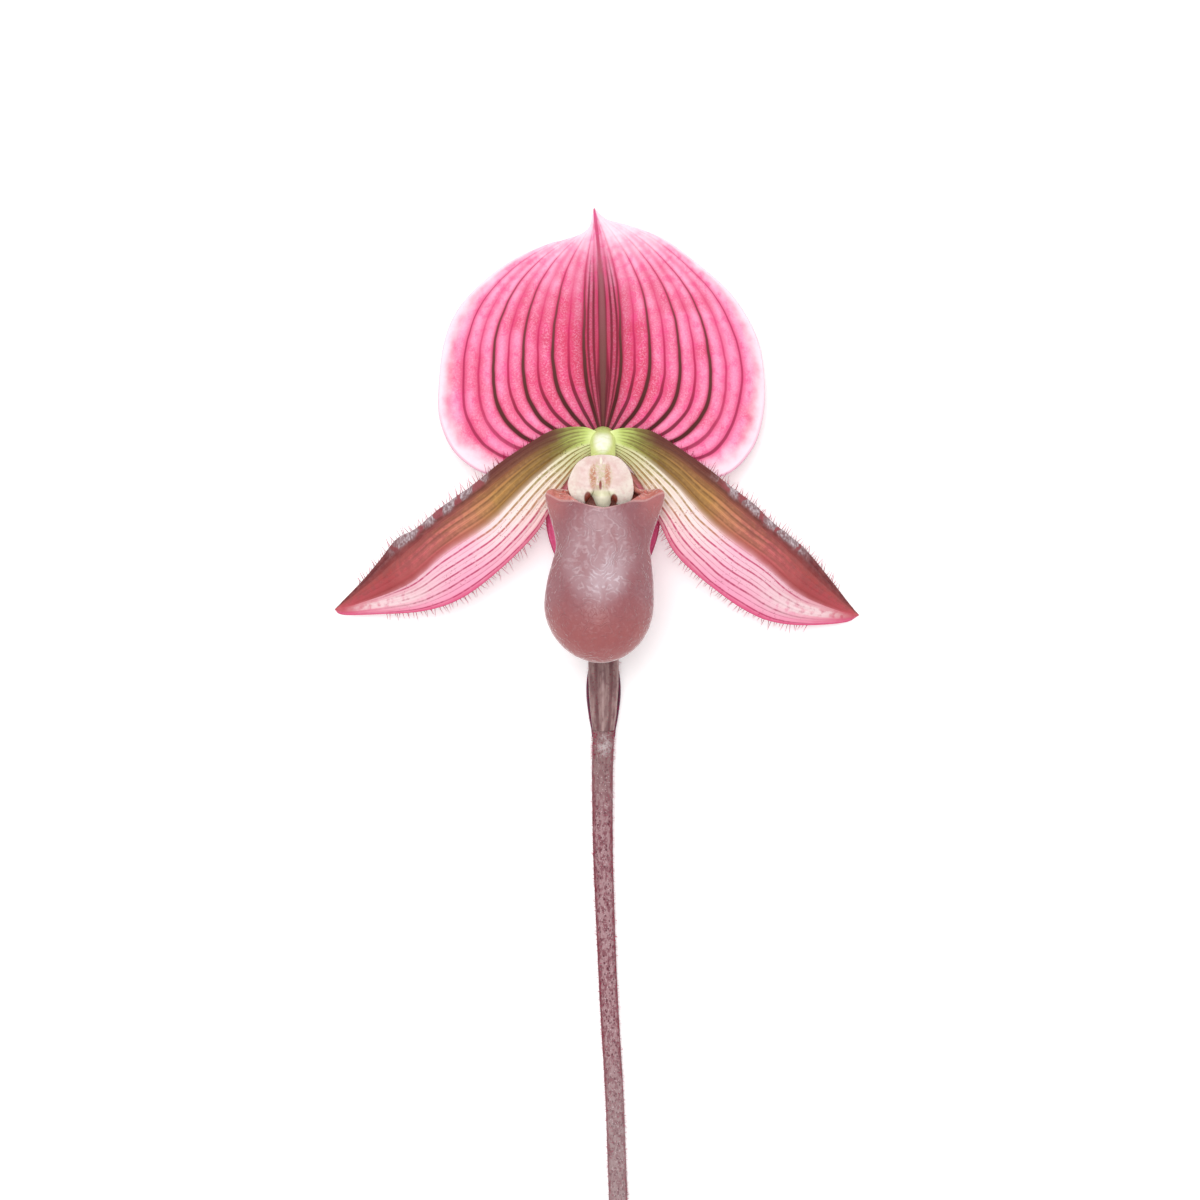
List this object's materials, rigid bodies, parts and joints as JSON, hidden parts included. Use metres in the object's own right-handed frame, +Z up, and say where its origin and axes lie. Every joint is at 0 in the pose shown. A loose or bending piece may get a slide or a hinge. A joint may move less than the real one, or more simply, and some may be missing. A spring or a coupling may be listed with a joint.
{
  "type": "cypripedium orchid",
  "caption": "Cut slipper orchid flower on its stalk, with a hooded striped sepal, drooping petals and a hollow slipper-shaped pouch, lying face up.",
  "frame": {"origin": "middle of the flower's bounding box, on the surface that it lies on", "axes": "+Y from the cut end of the stalk to the dorsal sepal's apex, +Z up, out of the surface that it lies on and the way the flower faces, +X to the flower's right petal as seen from above"},
  "size_m": [0.1002, 0.214, 0.0351],
  "materials": {
    "dorsal_sepal": "satin",
    "synsepal": "satin",
    "petal": "satin",
    "pouch": "satin",
    "column": "satin",
    "staminode": "satin",
    "anther": "matte",
    "ovary": "matte",
    "bract": "matte",
    "stem": "matte"
  },
  "bodies": {
    "root": {"stem": "stem", "ovary": "ovary", "bract": "bract", "dorsal_sepal": "dorsal_sepal", "synsepal": "synsepal", "petal_left": "petal", "petal_right": "petal", "pouch": "pouch", "column": "column", "staminode": "staminode", "anther_left": "anther", "anther_right": "anther"}
  },
  "joints": []
}
